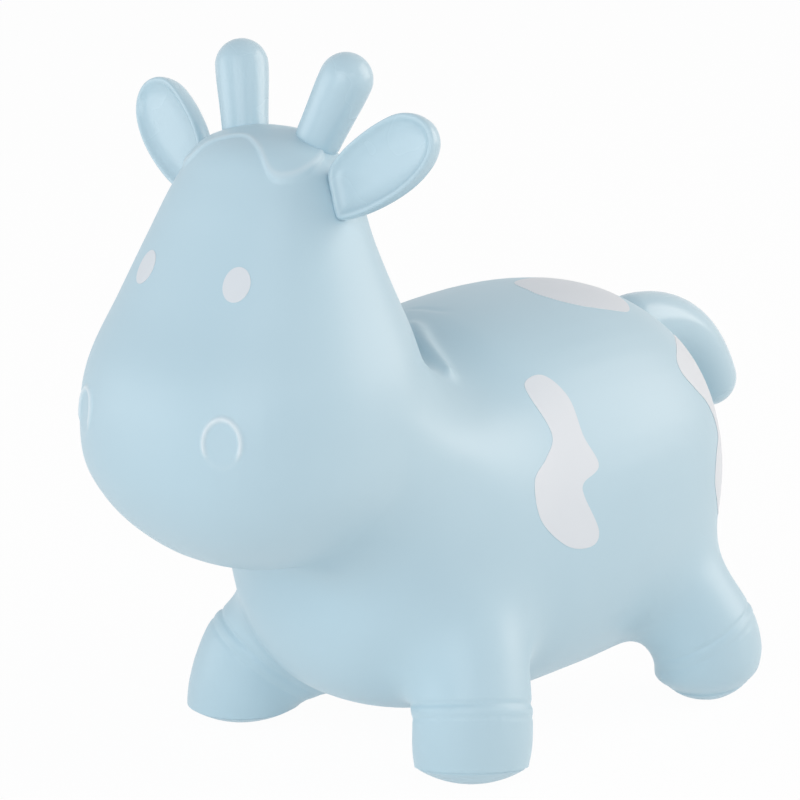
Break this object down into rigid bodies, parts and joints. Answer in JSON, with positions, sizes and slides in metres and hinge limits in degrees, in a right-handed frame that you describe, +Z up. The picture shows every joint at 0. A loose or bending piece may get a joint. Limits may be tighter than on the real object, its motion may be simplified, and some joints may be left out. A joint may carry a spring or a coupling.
{
  "type": "bouncy animal hopper",
  "caption": "Inflatable calf-shaped bouncy hopper of soft vinyl: pear-shaped head with horn handles and ears, barrel trunk to sit on, short splayed legs, bent tail and air valve.",
  "frame": {"origin": "on the floor, in the plane of symmetry, halfway between the nose and the end of the tail", "axes": "+Z up, -Y the way the calf faces, +X its left side"},
  "size_m": [0.2726, 0.566, 0.4615],
  "materials": {
    "blue_vinyl": "satin soft vinyl",
    "white_paint": "satin paint film",
    "valve_vinyl": "satin firmer vinyl"
  },
  "bodies": {
    "feet": {"hoof_front_left": "blue_vinyl", "hoof_front_right": "blue_vinyl", "hoof_rear_left": "blue_vinyl", "hoof_rear_right": "blue_vinyl"},
    "trunk": {"trunk_shell": "blue_vinyl", "head_shell": "blue_vinyl", "leg_front_left": "blue_vinyl", "leg_front_right": "blue_vinyl", "leg_rear_left": "blue_vinyl", "leg_rear_right": "blue_vinyl", "forelock": "blue_vinyl", "nostril_rim_left": "blue_vinyl", "nostril_rim_right": "blue_vinyl", "flank_patch_left": "white_paint", "flank_patch_right": "white_paint", "rump_patch": "white_paint", "back_patch": "white_paint", "eye_left": "white_paint", "eye_right": "white_paint", "valve_seat": "valve_vinyl"},
    "horn_left": {"horn_left": "blue_vinyl"},
    "horn_right": {"horn_right": "blue_vinyl"},
    "ear_left": {"ear_left": "blue_vinyl"},
    "ear_right": {"ear_right": "blue_vinyl"},
    "tail": {"tail": "blue_vinyl"},
    "valve_plug": {"valve_plug": "valve_vinyl"}
  },
  "joints": [
    {"name": "bounce", "type": "slide", "parent": "feet", "child": "trunk", "axis": [0, 0, -1], "range_m": [0, 0.014], "stiffness_N_per_m": 12000, "springref_m": -0.0018, "deforming": ["leg_front_left", "leg_front_right", "leg_rear_left", "leg_rear_right"]},
    {"name": "horn_left_bend", "type": "hinge", "parent": "trunk", "child": "horn_left", "pos_m": [0.0325, -0.15801, 0.41198], "axis": [1, 0, 0], "range_deg": [-15, 15], "stiffness_Nm_per_rad": 1},
    {"name": "horn_right_bend", "type": "hinge", "parent": "trunk", "child": "horn_right", "pos_m": [-0.0325, -0.15801, 0.41198], "axis": [1, 0, 0], "range_deg": [-15, 15], "stiffness_Nm_per_rad": 1},
    {"name": "ear_left_flap", "type": "hinge", "parent": "trunk", "child": "ear_left", "pos_m": [0.06221, -0.16867, 0.38535], "axis": [0.475, -0.1377, -0.8692], "range_deg": [-15, 15], "stiffness_Nm_per_rad": 0.6},
    {"name": "ear_right_flap", "type": "hinge", "parent": "trunk", "child": "ear_right", "pos_m": [-0.06221, -0.16867, 0.38535], "axis": [0.475, 0.1377, 0.8692], "range_deg": [-15, 15], "stiffness_Nm_per_rad": 0.6},
    {"name": "tail_lift", "type": "hinge", "parent": "trunk", "child": "tail", "pos_m": [0, 0.17826, 0.23817], "axis": [1, 0, 0], "range_deg": [0, 25], "stiffness_Nm_per_rad": 1},
    {"name": "valve_plug_pull", "type": "slide", "parent": "trunk", "child": "valve_plug", "axis": [0, 0.9245, -0.3811], "range_m": [0, 0.018]}
  ]
}
